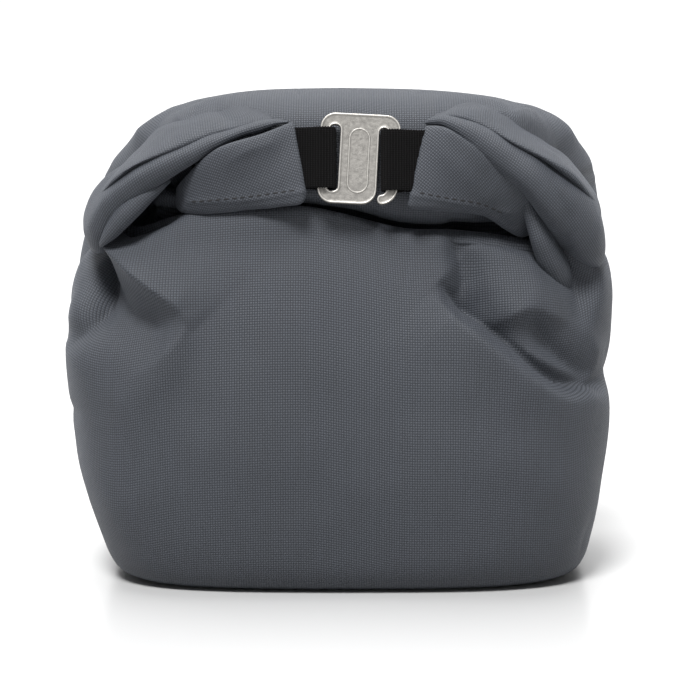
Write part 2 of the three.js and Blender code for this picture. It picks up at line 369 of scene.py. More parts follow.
def add_grid(bm, points, uvs):
    """Adds a grid surface to a bmesh, with its UVs, by moving an operator's flat grid. All in mm."""
    rows, columns = points.shape[:2]
    made = bmesh.ops.create_grid(bm, x_segments=columns - 1, y_segments=rows - 1, size=1.0, calc_uvs=False)
    layer = bm.loops.layers.uv.get("UVMap") or bm.loops.layers.uv.new("UVMap")
    where = {}
    for vertex in made["verts"]:
        i = round((vertex.co.y + 1) / 2 * (rows - 1))
        j = round((vertex.co.x + 1) / 2 * (columns - 1))
        where[vertex] = (i, j)
        vertex.co = points[i, j] * MM
    faces = {face for vertex in made["verts"] for face in vertex.link_faces}
    for face in faces:
        for loop in face.loops:
            loop[layer].uv = uvs[where[loop.vert]] * MM


def finish_mesh(bm, name, material, weld=0.004):
    """Welds a bmesh, turns its faces outwards and makes the named object of it."""
    bmesh.ops.remove_doubles(bm, verts=bm.verts, dist=weld * MM)
    bmesh.ops.dissolve_degenerate(bm, edges=bm.edges, dist=0.5 * weld * MM)
    bmesh.ops.recalc_face_normals(bm, faces=bm.faces)
    mesh = bpy.data.meshes.new(name)
    bm.to_mesh(mesh)
    bm.free()
    for polygon in mesh.polygons:
        polygon.use_smooth = True
    piece = bpy.data.objects.new(name, mesh)
    bpy.context.scene.collection.objects.link(piece)
    mesh.materials.append(material)
    return piece


def place_piece(piece, body, nodes=()):
    """Puts a piece on the body that it rides on, and hides the CAD nodes that it stands for."""
    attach(piece, body)
    if nodes:
        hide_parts(*nodes)
    return piece


class Fold:
    """One fold line in the cloth: points across and up, and a weight at each point.

    height is in mm, and a valley's is negative. left and right are how far it reaches on each side as one
    walks along it. sharp is 1 for a crease and 2 for a round fold.
    """

    def __init__(self, line, height, left, right, sharp, face="front"):
        self.height, self.left, self.right, self.sharp, self.face = height, left, right, sharp, face
        line = np.array(line, float)
        fine = np.linspace(0, len(line) - 1, 6 * (len(line) - 1) + 1)
        self.path = through(line[:, :2], fine)
        self.strength = np.interp(fine, np.arange(len(line)), line[:, 2])

    def lift(self, across, up):
        """How far the fold lifts points at those places."""
        nearest = np.full(across.shape, 1e9)
        side = np.zeros(across.shape)
        weight = np.zeros(across.shape)
        for i in range(len(self.path) - 1):
            ax, az = self.path[i]
            bx, bz = self.path[i + 1]
            run_x, run_z = bx - ax, bz - az
            length = max(math.hypot(run_x, run_z), 1e-6)
            share = np.clip(((across - ax) * run_x + (up - az) * run_z) / length**2, 0, 1)
            off_x, off_z = across - ax - share * run_x, up - az - share * run_z
            distance = np.hypot(off_x, off_z)
            offset = (run_x * off_z - run_z * off_x) / length
            closer = distance < nearest
            nearest = np.where(closer, distance, nearest)
            side = np.where(closer, offset / np.maximum(distance, 1e-6), side)
            here = self.strength[i] * (1 - share) + self.strength[i + 1] * share
            weight = np.where(closer, here, weight)
        # side runs smoothly from -1 to 1 round an end of the line, so the two reaches blend there
        reach = self.right + (self.left - self.right) * (side + 1) / 2
        return self.height * weight * np.exp(-((nearest / reach) ** self.sharp))


def lift_folds(points, normals, folds):
    """Moves grid points by the folds, each on the face of the bag that it names."""
    x, y, z = points[..., 0], points[..., 1], points[..., 2]
    facing = {
        "front": (x, z, steps(0.15, -0.25, normals[..., 1])),
        "back": (x, z, steps(-0.15, 0.25, normals[..., 1])),
        "left": (y, z, steps(0.1, -0.45, normals[..., 0])),
        "right": (y, z, steps(-0.1, 0.45, normals[..., 0])),
        "top": (x, y, steps(0.35, 0.8, normals[..., 2])),
    }
    total = np.zeros(x.shape)
    for fold in folds:
        across, up, mask = facing[fold.face]
        total += fold.lift(across, up) * mask
    return points + normals * total[..., None]


def soft_noise(points, size, height, seed):
    """Slow uneven lift over a grid of points: bumps about size mm across and height mm high."""
    flat = points.reshape(-1, 3) / size + seed
    values = np.array([noise.noise(Vector(point)) for point in flat])
    return height * values.reshape(points.shape[:2])


# ---- The bag's form ----

# Stations from the middle of the base, up the walls and over to the middle of the top. Each row: front reach
# and height, back reach and height, left half width, right half width, side height.

STATIONS = [
    (0, 1.2, 0, 1.2, 0, 0, 1.2),
    (30, 0.6, 30, 0.6, 45, 48, 0.6),
    (53, 0.3, 53, 0.3, 80, 86, 0.3),
    (61, 2.0, 61, 2.0, 89, 96.5, 2.0),
    (65.5, 7, 65.5, 7, 94.5, 102, 7),
    (69.5, 20, 69, 20, 99.5, 105.6, 20),
    (72, 38, 71, 38, 105, 108.6, 38),
    (73, 56, 72, 56, 108.4, 110.6, 56),
    (72.5, 75, 72, 75, 111.2, 111.7, 75),
    (71, 93, 71, 93, 112, 112.2, 93),
    (68, 111, 68.5, 111, 111, 112, 110),
    (63.5, 126, 65, 126, 108.6, 110.8, 124),
    (59.4, 137, 61, 140, 105, 109, 136),
    (56.6, 145.6, 57, 151, 100.5, 106.5, 146),
    (52.6, 149.3, 54, 157, 97.5, 104.9, 151),
    (42, 149.0, 52, 160, 96, 104, 153.5),
    (28, 144.5, 51, 162, 94.5, 103.2, 155.5),
    (30, 149.5, 50, 164, 93.2, 102.6, 157.5),
    (46, 150.6, 48.5, 166, 91.5, 101.4, 160),
    (52.0, 155.6, 46, 169.5, 89, 99.8, 164),
    (52.2, 167, 42, 174.5, 83.4, 95, 170.5),
    (50, 177, 36.5, 180, 78.2, 90.6, 177),
    (45.8, 186, 29, 185, 72.5, 84.4, 183.5),
    (38, 191.6, 20, 189.5, 64, 75, 188.5),
    (26, 194, 11, 192.4, 49.5, 58.5, 192),
    (13, 194.8, 5, 194, 30, 34, 194.2),
    (0, 195, 0, 195, 0, 0, 195),
]
CORNER_POWER = 3.8
WIDTH_SHARE = 0.982  # the cloth is a little inside its pattern once it is filled
WIDEST = STATIONS[9]
FOOT_OF_ROLL = 13  # the station of the front wall's upper lip, just before the crevice
CREVICE_X = [-110, -92, -63, -17, 2, 24, 47, 71, 110]
CREVICE_DROP = [[-13], [-11], [-2.0], [2.2], [-0.8], [-7.0], [-8.0], [-11.0], [-16]]
FRONT_COLUMNS = 252
BACK_COLUMNS = 108
ROW_SPREAD = ([0, 4, 8, 24, 26], [0, 18, 50, 254, 270])  # rows up to each station, closest over the folds

# Fold lines of the body and of the shoulders above the roll ends.
BODY_FOLDS = [
    # the front panel's corner at the left is pulled up to a point; its edge runs down and inwards
    Fold(
        [(-94, 139, 1.3), (-86, 130, 1.3), (-74, 120, 1.1), (-63, 113, 0.7), (-55, 105, 0)],
        9.0, 16, 3.0, 1.0,
    ),
    Fold(
        [(-97, 135, 0.9), (-92, 123, 1.1), (-84, 112, 1.0), (-73, 107, 0.7), (-64, 103, 0)],
        -9.0, 6, 12, 1.5,
    ),
    Fold([(-98, 134, 1), (-97, 122, 1.1), (-97.5, 110, 1), (-103, 100, 0.6), (-108, 94, 0)], -8.0, 5, 4, 1.4),
    Fold([(-62, 110, 0), (-60, 104, 1), (-66, 96, 1), (-76, 88, 0.4)], 2.2, 6, 3, 1.2),
    Fold([(-106, 124, 0.6), (-104, 106, 1), (-101, 88, 0.6), (-99, 70, 0)], 3.0, 6, 6, 2),
    Fold([(-66, 109, 0), (-62, 100, 0.8), (-66, 90, 1), (-76, 80, 0.6), (-90, 70, 0)], 1.8, 7, 7, 2),
    Fold([(-107, 68, 1), (-103, 65, 0)], -1.6, 3, 3, 1.4),
    # the right corner bulges over a crease shaped like a leaf
    Fold(
        [(39, 124, 0), (44, 119, 0.8), (50.5, 113, 1.1), (60, 105, 1.1), (71, 96, 1), (79, 88.5, 0.9),
         (89, 82.6, 0.8), (101, 80.6, 0.5)],
        -10.5, 10, 2.2, 1.05,
    ),
    Fold(
        [(36, 119, 0), (44, 110, 0.9), (54, 101.5, 1), (66, 92, 1), (76, 84, 1), (88, 77, 0.7),
         (102, 76, 0.2)],
        4.0, 2.4, 14, 1.3,
    ),
    Fold(
        [(61, 108, 0.4), (68, 110.6, 1), (74.5, 112, 1.1), (83, 109.6, 0.9), (91, 106, 0.4)],
        5.0, 12, 4, 1.2,
    ),
    Fold([(68, 101, 0.5), (75.5, 95.5, 1), (82.5, 91.5, 1), (91, 87.5, 0.9), (100, 84, 0.5)], 3.4, 4, 3, 1.2),
    Fold([(77, 107, 0.6), (82.5, 99.5, 1), (91, 91.5, 1), (99, 85.5, 0.8)], -6.0, 5, 5, 1.4),
    Fold([(96, 104, 0.2), (101, 96, 1), (102.5, 86, 1), (99, 80, 0.6)], 2.4, 4, 4, 1.4),
    Fold(
        [(73, 154, 0.4), (78, 146, 1), (80, 137, 1.1), (88, 129, 1), (95, 121, 1), (95.5, 110, 0.5)],
        -6.5, 3.5, 8, 1.6,
    ),
    Fold([(88, 137, 0.5), (95, 130, 1), (101, 122, 1), (102, 108, 0.3)], 3.4, 5, 4, 1.5),
    Fold([(94, 137, 0.8), (100, 134, 1), (112, 135, 1)], -6.0, 5, 3, 1.3),
    Fold([(43, 149, 0), (46.5, 137, 0.9), (48.5, 126, 1), (50, 116, 0.7), (52, 108, 0)], -6.0, 9, 4, 1.8),
    Fold([(66, 138, 0.2), (75, 128, 1), (76, 116, 0.6), (70, 106, 0)], 2.0, 10, 8, 2),
    Fold([(101, 27, 0.6), (98, 17, 1), (96, 8, 0.4)], -1.3, 4, 3, 1.4),
    # slow hollows over the front
    Fold([(-30, 135, 0.3), (-10, 140, 1), (20, 136, 1), (50, 132, 0.4)], -2.4, 9, 9, 2),
    Fold([(36, 128, 0), (42, 112, 1), (40, 94, 0.3)], -1.6, 10, 9, 2),
    Fold([(-40, 12, 0.5), (0, 9, 1), (60, 12, 0.6)], 1.0, 8, 8, 2),
    Fold([(60, 60, 0.2), (84, 44, 1), (98, 28, 0.4)], 1.6, 12, 12, 2),
    Fold([(-96, 52, 0.4), (-88, 34, 1), (-86, 16, 0.3)], 1.6, 10, 10, 2),
]

SHOULDER_FOLDS = [
    # pits behind the roll ends
    Fold([(-84, 147, 0.7), (-74, 154, 1), (-64, 162, 0.8)], -24, 9, 9, 2.4),
    Fold([(62, 147, 0.6), (72, 147, 1), (77, 156, 0.5)], -16, 8, 8, 2.2),
    # soft facets over the left shoulder
    Fold([(-66, 186, 0.4), (-54, 181, 1), (-38, 179, 1), (-30, 180, 0)], 2.2, 3, 7, 1.3),
    Fold([(-52, 192, 0.3), (-46, 186, 1), (-41, 181, 0.5)], -2.2, 4, 4, 1.4),
    Fold([(-80, 176, 0.5), (-66, 177, 1), (-50, 180, 0.3)], 1.5, 3, 6, 1.3),
    # and over the right
    Fold([(88, 180, 0.5), (76, 186, 1), (62, 186, 0.8), (48, 183, 0)], 2.4, 7, 3, 1.3),
    Fold([(70, 189, 1), (62, 184, 0.3)], -1.6, 3, 3, 1.4),
    # the smooth roll behind the buckle dips at its foot
    Fold([(-20, 155, 0.6), (-6, 153, 1), (8, 149, 0.3)], 1.6, 3.5, 3.5, 2),
]

OTHER_FOLDS = [
    # pleats where the side walls gather towards the roll ends
    Fold([(-30, 168, 1), (-14, 150, 1), (0, 128, 0.7), (8, 104, 0)], -6.0, 8, 10, 1.8, "left"),
    Fold([(-16, 176, 1), (4, 158, 1), (18, 132, 0.6), (24, 108, 0)], 4.5, 8, 9, 1.8, "left"),
    Fold([(-38, 120, 0), (-22, 104, 1), (-6, 92, 0.6), (8, 86, 0)], -2.2, 6, 9, 1.4, "left"),
    Fold([(18, 80, 0), (34, 66, 1), (48, 48, 0.4)], -1.6, 8, 8, 2, "left"),
    Fold([(-28, 168, 1), (-12, 148, 1), (2, 126, 0.7), (6, 100, 0)], -6.0, 8, 10, 1.8, "right"),
    Fold([(-12, 176, 1), (8, 158, 1), (20, 134, 0.6), (26, 104, 0)], 4.5, 8, 9, 1.8, "right"),
    Fold([(-40, 96, 0.2), (-24, 84, 1), (-4, 80, 0.8), (14, 88, 0)], -2.6, 5, 9, 1.4, "right"),
    Fold([(10, 64, 0), (28, 50, 1), (44, 34, 0.4)], -1.6, 8, 8, 2, "right"),
    # the back wall: shallow drags from its top corners, and a hollow across
    Fold([(-92, 150, 1), (-74, 132, 0.8), (-50, 118, 0)], -3.0, 7, 12, 1.7, "back"),
    Fold([(94, 150, 1), (78, 130, 0.8), (54, 114, 0)], -3.0, 12, 7, 1.7, "back"),
    Fold([(-60, 163, 0.2), (-20, 156, 1), (30, 158, 1), (66, 163, 0.2)], -1.8, 9, 9, 2, "back"),
    Fold([(-84, 40, 0), (-66, 56, 1), (-44, 64, 0)], -1.4, 8, 8, 2, "back"),
    Fold([(50, 70, 0), (74, 60, 1), (92, 42, 0)], -1.4, 8, 8, 2, "back"),
]


def squared(wave, power):
    """A sine or cosine changed so that the circle that it draws becomes a rounded box."""
    return np.sign(wave) * np.abs(wave) ** (2 / power)


def shell_points(angles, places):
    """The bag's outer form at places along the stations and angles in radians from the right, by the back."""
    front, front_z, back, back_z, left, right, side_z = through(STATIONS, places).T[..., None]
    cosine, sine = np.cos(angles)[None], np.sin(angles)[None]
    half = np.where(cosine > 0, right, left)
    reach = np.where(sine < 0, front, back)
    to_front = steps(0.35, 0.8, -sine)
    to_back = steps(0.35, 0.8, sine)
    height = side_z + (front_z - side_z) * to_front + (back_z - side_z) * to_back
    # the crevice under the roll fades out towards the sides, and its height changes along the front
    level = places[:, None]
    crevice = steps(FOOT_OF_ROLL - 2, FOOT_OF_ROLL, level) * steps(FOOT_OF_ROLL + 6, FOOT_OF_ROLL + 4, level)
    shut = steps(0.80, 0.98, np.abs(cosine)) * (sine < 0) * crevice
    outer = np.interp(level, [FOOT_OF_ROLL - 1, FOOT_OF_ROLL + 6], [56, 51.6])
    reach = reach + (outer - reach) * shut
    x = WIDTH_SHARE * half * squared(cosine, CORNER_POWER)
    y = reach * squared(sine, CORNER_POWER)
    drop = through(CREVICE_DROP, np.interp(x, CREVICE_X, np.arange(len(CREVICE_X))))[..., 0]
    near = steps(8, FOOT_OF_ROLL, level) * steps(22, FOOT_OF_ROLL + 4, level)
    height = height + drop * near * to_front
    return np.stack([x, y, height], axis=-1)


def even_angles(start, end, columns):
    """Angles that part the bag's outline at its widest into even lengths."""
    fine = np.linspace(start, end, 4001)
    across = WIDEST[4] * squared(np.cos(fine), CORNER_POWER)
    deep = WIDEST[0] * squared(np.sin(fine), CORNER_POWER)
    run = np.concatenate([[0], np.cumsum(np.hypot(np.diff(across), np.diff(deep)))])
    return np.interp(np.linspace(0, run[-1], columns + 1), run, fine)


def shell_half(columns, start, rows):
    """One half of the shell, from start in radians: its points, and its UVs counted from its middle."""
    angles = even_angles(start, start + math.pi, columns)
    spread = np.linspace(0, ROW_SPREAD[1][-1], rows + 1)
    places = np.interp(spread, ROW_SPREAD[1], ROW_SPREAD[0])
    points = shell_points(angles, places)
    normals = grid_normals(points)
    folded = lift_folds(points, normals, BODY_FOLDS + SHOULDER_FOLDS + OTHER_FOLDS)
    wall = steps(4, 7, places)[:, None] * steps(24, 21, places)[:, None]
    slack = soft_noise(points, 34, 1.1, 3.7) + soft_noise(points, 15, 0.28, 9.1)
    folded = folded + normals * (slack * wall)[..., None]
    folded[..., 2] = np.maximum(folded[..., 2], 0)
    uvs = np.stack([row_lengths(points, columns // 2), column_lengths(points, rows // 3)], axis=-1)
    return folded, uvs


def join_halves(front, back):
    """Gives a front and a back half the same points at their side seams and at their two ends."""
    back[:, 0], back[:, -1] = front[:, -1], front[:, 0]
    back[0], back[-1] = front[0, 0], front[-1, 0]
    front[0], front[-1] = front[0, 0], front[-1, 0]


class BAG_OT_shell(bpy.types.Operator):
    """Make the padded fabric shell: walls, base, and the roll of the mouth over the top"""

    bl_idname = "bag.shell"
    bl_label = "Shell"

    def execute(self, context):
        bm = bmesh.new()
        rows = ROW_SPREAD[1][-1]
        front, front_uvs = shell_half(FRONT_COLUMNS, math.pi, rows)
        back, back_uvs = shell_half(BACK_COLUMNS, 0, rows)
        join_halves(front, back)
        add_grid(bm, front, front_uvs)
        add_grid(bm, back, back_uvs)
        shell = finish_mesh(bm, "bag_shell", woven_cloth())
        place_piece(
            shell, "bag",
            ("front_panel", "back_panel", "left_panel", "right_panel", "base_panel", "rolled_mouth"),
        )
        return {"FINISHED"}


# ---- Folded tubes: the gathered edges and the roll ends ----


def superellipse(around, power):
    """Points once round a superellipse, as rows of (first, second), both from -1 to 1."""
    turn = np.linspace(0, 2 * math.pi, around + 1)
    return squared(np.cos(turn), power), squared(np.sin(turn), power)


def tube_points(stations, around, along, power):
    """A closed tube through stations of (centre, first half axis, second half axis), nine numbers a row."""
    rows = through(stations, np.linspace(0, len(stations) - 1, along + 1))
    first, second = superellipse(around, power)
    centre, wide, deep = rows[:, None, 0:3], rows[:, None, 3:6], rows[:, None, 6:9]
    points = centre + first[None, :, None] * wide + second[None, :, None] * deep
    points[0], points[-1] = rows[0, 0:3], rows[-1, 0:3]
    return points


def fold_stations(rows, lean):
    """Tube stations from rows of x, y, z, half width across the fold as seen from the front, half depth.

    lean, in degrees, brings the upper edge of the fold forwards of its lower one.
    """
    rows = np.array(rows, float)
    along = np.gradient(rows[:, :3], axis=0)
    along /= np.linalg.norm(along, axis=1, keepdims=True)
    wide = np.stack([-along[:, 2], 0 * along[:, 0], along[:, 0]], axis=1)
    wide /= np.linalg.norm(wide, axis=1, keepdims=True)
    wide[:, 1] = -np.sign(wide[:, 2]) * math.tan(math.radians(lean))
    deep = np.cross(along, wide)
    deep *= -np.sign(deep[:, 1:2] + 1e-9)
    return np.hstack([rows[:, :3], wide * rows[:, 3:4], deep * rows[:, 4:5]])


def end_stations(rows):
    """Tube stations of a roll end, from rows laid out as in LEFT_END."""
    made = []
    for top_x, top_z, foot_x, foot_z, y, half, lean in rows:
        rise = top_z - foot_z
        back = rise * math.tan(math.radians(lean))
        centre = ((top_x + foot_x) / 2, y, (top_z + foot_z) / 2)
        wide = ((top_x - foot_x) / 2, back / 2, rise / 2)
        made.append((*centre, *wide, 0.0, -half * math.cos(LEAN), half * math.sin(LEAN)))
    return np.array(made)


def soft_tube(name, stations, around, along, power, folds, slack, seed, bias=0.0):
    """A cloth tube with its own folds and slight unevenness, welded shut at both ends.

    bias turns the weave on it, in degrees.
    """
    points = tube_points(stations, around, along, power)
    normals = grid_normals(points)
    outward = (normals * (points - points.mean(axis=1, keepdims=True))).sum(axis=-1)
    if outward.sum() < 0:
        normals = -normals
    points = lift_folds(points, normals, folds)
    ends = np.minimum(np.arange(along + 1), np.arange(along, -1, -1)) / along
    loose = soft_noise(points, 9.0, slack, seed) + soft_noise(points, 24.0, 1.5 * slack, seed + 5)
    points = points + normals * (loose * steps(0, 0.12, ends)[:, None])[..., None]
    points[:, -1] = points[:, 0]
    uvs = np.stack([column_lengths(points, along // 2), row_lengths(points, around // 4)], axis=-1)
    turn = math.radians(bias)
    uvs = uvs @ np.array([[math.cos(turn), math.sin(turn)], [-math.sin(turn), math.cos(turn)]])
    bm = bmesh.new()
    add_grid(bm, points, uvs)
    return finish_mesh(bm, name, woven_cloth())


# Steps round each tube, steps along it, and the power of its section: 2 is an ellipse, more is squarer.
EDGE_GRID = (84, 150, 2.3)
FLAP_GRID = (150, 170, 2.2)
ROLL_GRID = (120, 170, 3.4)
EDGE_LEAN = 15  # degrees that the gathered edges hang forwards
ROLL_BIAS = 32  # degrees that the weave turns on the roll ends

# X, y, z of the middle, half width and half depth: from beside the buckle out to the shoulder.
LEFT_STRAND = [
    (-19.5, -49.5, 184.0, 0.4, 1.0),
    (-25, -50.5, 183.8, 1.2, 2.4),
    (-31, -51, 182.4, 1.8, 3.2),
    (-38.5, -52, 180.4, 2.0, 4),
    (-50.5, -54, 176, 3.0, 6),
    (-64, -54, 169.6, 4.8, 8),
    (-76, -52, 163.2, 6.2, 11),
    (-85.2, -47, 156.2, 7.0, 14),
    (-91, -41, 149, 7.6, 17),
    (-94.5, -38, 142.5, 6.4, 16),
    (-96, -36, 138, 4.4, 13),
    (-97, -35, 134.5, 1.0, 8),
]
LEFT_FINGER = [
    (-66, -52, 161.6, 0.8, 2),
    (-70, -54, 159.4, 2.0, 4),
    (-76, -56, 155.4, 3.4, 5),
    (-82.5, -56, 149.6, 3.8, 6),
    (-88, -54, 143.2, 3.2, 6),
    (-91.5, -52.5, 138.8, 1.6, 4),
    (-93, -51, 136.6, 0.4, 2),
]
RIGHT_STRAND = [
    (33.5, -49, 183.6, 0.6, 1.2),
    (37, -50, 184.4, 1.8, 3),
    (42, -52, 184.2, 2.6, 4),
    (51, -54, 180, 4.3, 6),
    (64, -55, 171.6, 5.8, 8),
    (75, -54, 164.2, 7.2, 11),
    (84.5, -50, 155.4, 9.6, 14),
    (92, -44, 146.6, 10.5, 16),
    (96.5, -40, 140.4, 8.4, 16),
    (100, -36, 135, 5.4, 13),
    (102, -33, 131.5, 1.2, 8),
]
RIGHT_FINGER = [
    (70, -47, 162, 0.8, 2),
    (73.0, -50, 156, 2.4, 4),
    (75.4, -51, 149, 3.2, 5.5),
    (78.0, -51.5, 141, 4.0, 6.5),
    (81.5, -48.5, 132.5, 5.0, 7),
    (85.5, -44.0, 124.5, 5.4, 7),
    (88.5, -38, 117, 4.2, 6),
    (90.5, -33, 111, 1.0, 3),
]
STRAND_FOLDS = {
    "left_gathered_edge": [
        Fold([(-60, 172, 0.2), (-76, 165, 1), (-90, 154, 1), (-98, 142, 0.4)], 1.0, 2.5, 2.5, 2),
    ],
    "right_gathered_edge": [
        Fold([(56, 174, 0.3), (72, 162, 1), (84, 150, 1), (90, 140, 0.5)], 1.2, 4, 4, 2),
        Fold([(82, 161, 0.3), (88, 148, 1), (88, 136, 0.6)], -2.0, 3, 4, 1.8),
    ],
}

# Top x, z, foot x, z, depth of the middle, half thickness, and lean in degrees of the top towards the back:
# from beside the buckle round into the shoulder.
LEFT_END = [
    (-17.0, 182.2, -12.8, 157.0, -58.0, 0.5, 15),
    (-17.6, 183.4, -12.4, 156.2, -58.0, 2.0, 15),
    (-19.2, 183.6, -15.0, 153.0, -58.0, 3.0, 15),
    (-27, 180.6, -24, 151.6, -58.0, 3.4, 6),
    (-37, 177.2, -34, 150.6, -57.8, 3.6, -4),
    (-47, 173.8, -45, 149.4, -57.0, 3.8, -9),
    (-54, 168.4, -54, 148.2, -54.6, 3.9, -9),
    (-60, 162, -61, 148.6, -49.6, 3.4, -5),
    (-63.5, 158, -64, 150, -42.0, 2.6, 0),
    (-64, 155, -64.5, 152, -34.0, 0.5, 0),
]
RIGHT_END = [
    (32.6, 180.4, 26.8, 153.4, -58.0, 0.5, 15),
    (33.2, 181.6, 26.6, 152.4, -58.0, 2.0, 15),
    (35.0, 182.4, 28.4, 151.4, -58.0, 3.0, 15),
    (42, 181.6, 38, 150.4, -58.0, 3.4, 3),
    (52, 175.5, 48, 149.2, -56.8, 3.6, -9),
    (61, 168, 57, 147.0, -54.6, 3.8, -18),
    (69, 161, 65.5, 141.4, -52.0, 3.9, -26),
    (75, 156, 71.5, 138.4, -49.0, 3.4, -28),
    (78, 152, 76, 139.5, -44.0, 2.6, -28),
    (79, 149, 78.5, 143, -39.0, 0.5, -28),
]
END_FOLDS = {
    "left_roll_end_cover": [
        Fold([(-14, 157.8, 0.8), (-34, 154.6, 1), (-58, 153.2, 0.8)], 0.5, 1.0, 1.4, 2),
        Fold([(-44, 168, 0.2), (-36, 173, 1), (-27, 176, 0.6)], 0.9, 4, 2.2, 1.5),
        Fold([(-20, 176, 0.5), (-30, 165, 1), (-40, 160, 0.4)], -0.7, 5, 4, 2),
    ],
    "right_roll_end_cover": [
        Fold([(28, 156.6, 0.8), (44, 153.6, 1), (66, 148.8, 0.8)], 0.5, 1.4, 1.0, 2),
        Fold([(38, 176, 0.4), (46, 166, 1), (58, 156, 0.5)], 0.8, 4, 4, 2),
        Fold([(52, 152, 0.3), (60, 150, 1), (68, 144, 0.6)], -0.8, 2, 2, 1.6),
    ],
}

# Where each flap starts at the seam, where it dies into the shoulder behind, and its half thickness.
LEFT_FLAP = [
    (-26, -49.6, 184.4, -26, -46.5, 185.6, 0.3),
    (-29.5, -50.6, 184.4, -30.5, -41, 188.4, 1.0),
    (-38.2, -53.2, 182.2, -42, -32, 190.8, 1.8),
    (-51.7, -56.0, 178.4, -55, -20, 190.2, 2.4),
    (-67.1, -60.0, 172.8, -66, -6, 184.8, 2.8),
    (-79.2, -60.5, 167.6, -74, 4, 174.6, 3.0),
    (-86.8, -58.0, 161.8, -79.5, 8, 165.8, 3.2),
    (-92.4, -52, 155.4, -86, 10, 156.2, 3.4),
    (-96.4, -45, 149, -92, 10, 149.5, 3.6),
    (-98.2, -40, 142, -97, 6, 142, 3.0),
    (-98.6, -36, 136.5, -98, -6, 136.5, 0.5),
]
RIGHT_FLAP = [
    (37, -49.5, 185.4, 37, -46, 186.4, 0.3),
    (40, -51.2, 185.8, 42, -42, 188.0, 0.8),
    (44.1, -52.8, 186.2, 48, -37, 189.8, 1.4),
    (52.2, -55.2, 184.2, 56, -26, 190.6, 2.0),
    (59.9, -57.0, 180.6, 64, -16, 189.0, 2.5),
    (67.5, -60.2, 176.4, 70, -8, 185.8, 2.8),
    (79.9, -61.6, 170.2, 76.5, 0, 178.4, 3.1),
    (89.4, -59.6, 163.8, 84.5, 6, 171, 3.4),
    (95.8, -55, 157.0, 91.5, 9, 162, 3.6),
    (99.8, -49, 151, 96.8, 10, 154, 3.6),
    (101.6, -42, 144, 101, 8, 145, 3.0),
    (102.4, -40, 138, 102, -4, 139, 0.5),
]
FLAP_FOLDS = {
    "left_shoulder_flap": [
        Fold([(-84, 178, 0.3), (-70, 179, 1), (-56, 182, 1), (-40, 186, 0.3)], 1.6, 3, 6, 1.4),
        Fold([(-50, 190, 0.5), (-45, 186, 1), (-38, 184, 0.2)], -1.6, 3, 3, 1.5),
        Fold([(-92, 166, 0.4), (-80, 172, 1), (-66, 176, 0.3)], -1.0, 5, 5, 2),
    ],
    "right_shoulder_flap": [
        Fold([(50, 188, 0.6), (66, 186, 1), (84, 180, 0.5)], 1.3, 3, 6, 1.4),
        Fold([(60, 183, 0.4), (76, 178, 1), (92, 170, 0.4)], -1.0, 5, 5, 2),
    ],
}


def flap_stations(rows):
    """Tube stations of a flat fold from its seam edge back to where it dies into the shoulder."""
    rows = np.array(rows, float)
    wide = (rows[:, 0:3] - rows[:, 3:6]) / 2
    centre = (rows[:, 0:3] + rows[:, 3:6]) / 2
    along = np.gradient(centre, axis=0)
    deep = np.cross(wide, along)
    deep /= np.linalg.norm(deep, axis=1, keepdims=True)
    deep *= np.sign(deep[:, 2:3] + 1e-9)
    return np.hstack([centre, wide, deep * rows[:, 6:7]])


class BAG_OT_gathers(bpy.types.Operator):
    """Make the gathered edges that run from the buckle out over the shoulders"""

    bl_idname = "bag.gathers"
    bl_label = "Gathered edges"

    def execute(self, context):
        rows = {
            "left_gathered_edge": LEFT_STRAND,
            "left_inner_fold": LEFT_FINGER,
            "right_gathered_edge": RIGHT_STRAND,
            "right_inner_fold": RIGHT_FINGER,
        }
        for seed, (name, stations) in enumerate(rows.items()):
            folds = STRAND_FOLDS.get(name, [])
            piece = soft_tube(name, fold_stations(stations, EDGE_LEAN), *EDGE_GRID, folds, 0.35, 2.0 + seed)
            place_piece(piece, "bag")
        flaps = {"left_shoulder_flap": LEFT_FLAP, "right_shoulder_flap": RIGHT_FLAP}
        for seed, (name, stations) in enumerate(flaps.items()):
            folds = FLAP_FOLDS[name]
            piece = soft_tube(name, flap_stations(stations), *FLAP_GRID, folds, 0.4, 12.0 + seed)
            place_piece(piece, "bag")
        return {"FINISHED"}


class BAG_OT_roll_ends(bpy.types.Operator):
    """Make the two ends of the roll, turned forwards towards the buckle"""

    bl_idname = "bag.roll_ends"
    bl_label = "Roll ends"

    def execute(self, context):
        sides = {
            "left_roll_end_cover": (LEFT_END, "left_roll_end"),
            "right_roll_end_cover": (RIGHT_END, "right_roll_end"),
        }
        for seed, (name, (stations, node)) in enumerate(sides.items()):
            folds = END_FOLDS[name]
            bias = -ROLL_BIAS if seed else ROLL_BIAS
            piece = soft_tube(name, end_stations(stations), *ROLL_GRID, folds, 0.3, 7.0 + seed, bias)
            place_piece(piece, "bag", (node,))
        return {"FINISHED"}


# ---- Hem stitching ----

HEM_LINES = {
    "left_roll_end_cover": [(-16.5, 158.6), (-34, 155.8), (-57, 153.4)],
    "right_roll_end_cover": [(30.5, 157.6), (44, 154.8), (55, 152.6), (63, 149)],
}
STITCH_SIZE = (2.3, 0.7, 0.5)  # along the hem, across it and off the cloth
STITCH_STEP = 3.2
IN_FRONT = -100  # a depth that is clear of the bag's front


